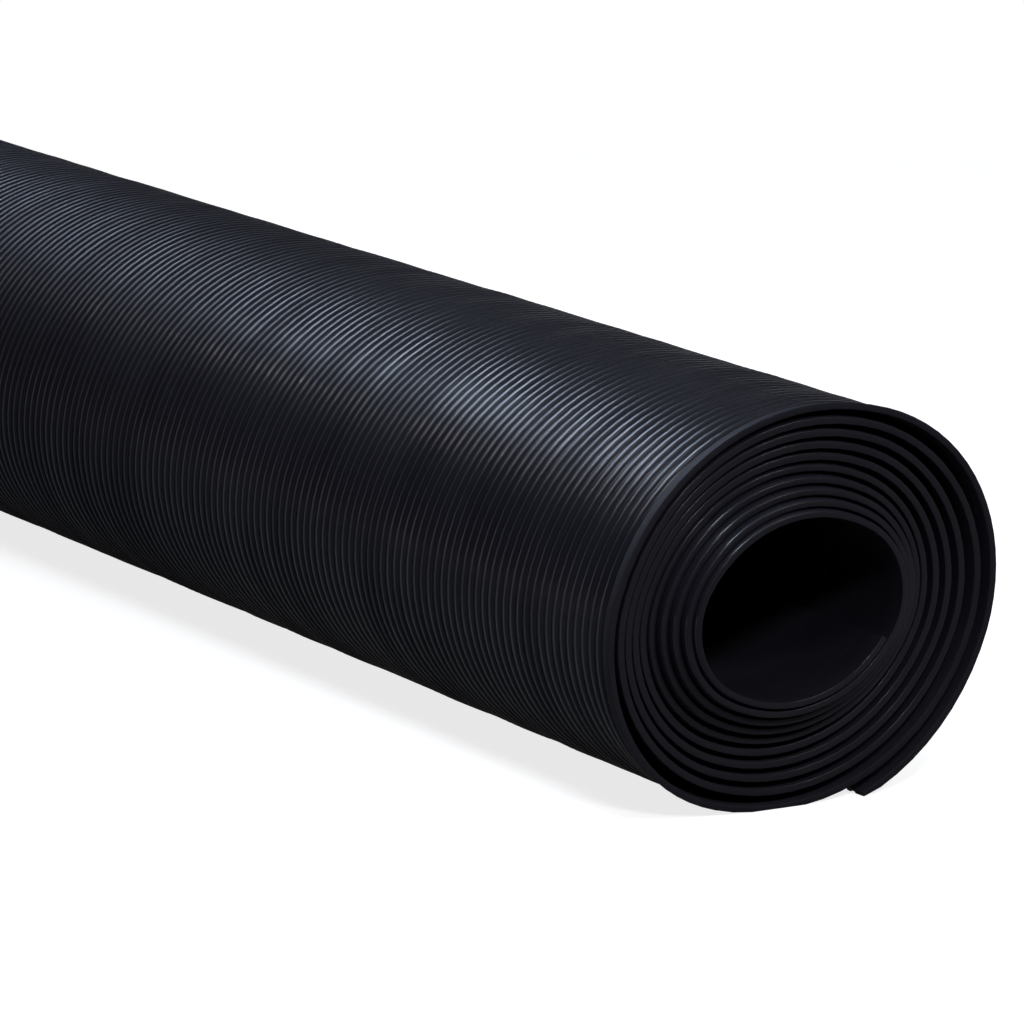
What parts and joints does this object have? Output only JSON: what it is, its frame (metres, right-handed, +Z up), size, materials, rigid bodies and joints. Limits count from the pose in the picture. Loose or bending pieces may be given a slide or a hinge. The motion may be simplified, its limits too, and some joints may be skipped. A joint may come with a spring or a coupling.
{
  "type": "rubber floor mat",
  "caption": "Ribbed rubber floor mat rolled up and lying on its side, with a hollow oval core, ribs facing out and a loose tail that comes down to the floor.",
  "frame": {"origin": "middle of the roll's length, centred under its section, on the floor", "axes": "+Y along the roll, +X towards the side on which the tail comes down, +Z up"},
  "size_m": [0.1858, 1, 0.1682],
  "materials": {
    "mat_rubber": "satin"
  },
  "bodies": {
    "root": {"mat_roll": "mat_rubber"}
  },
  "joints": []
}
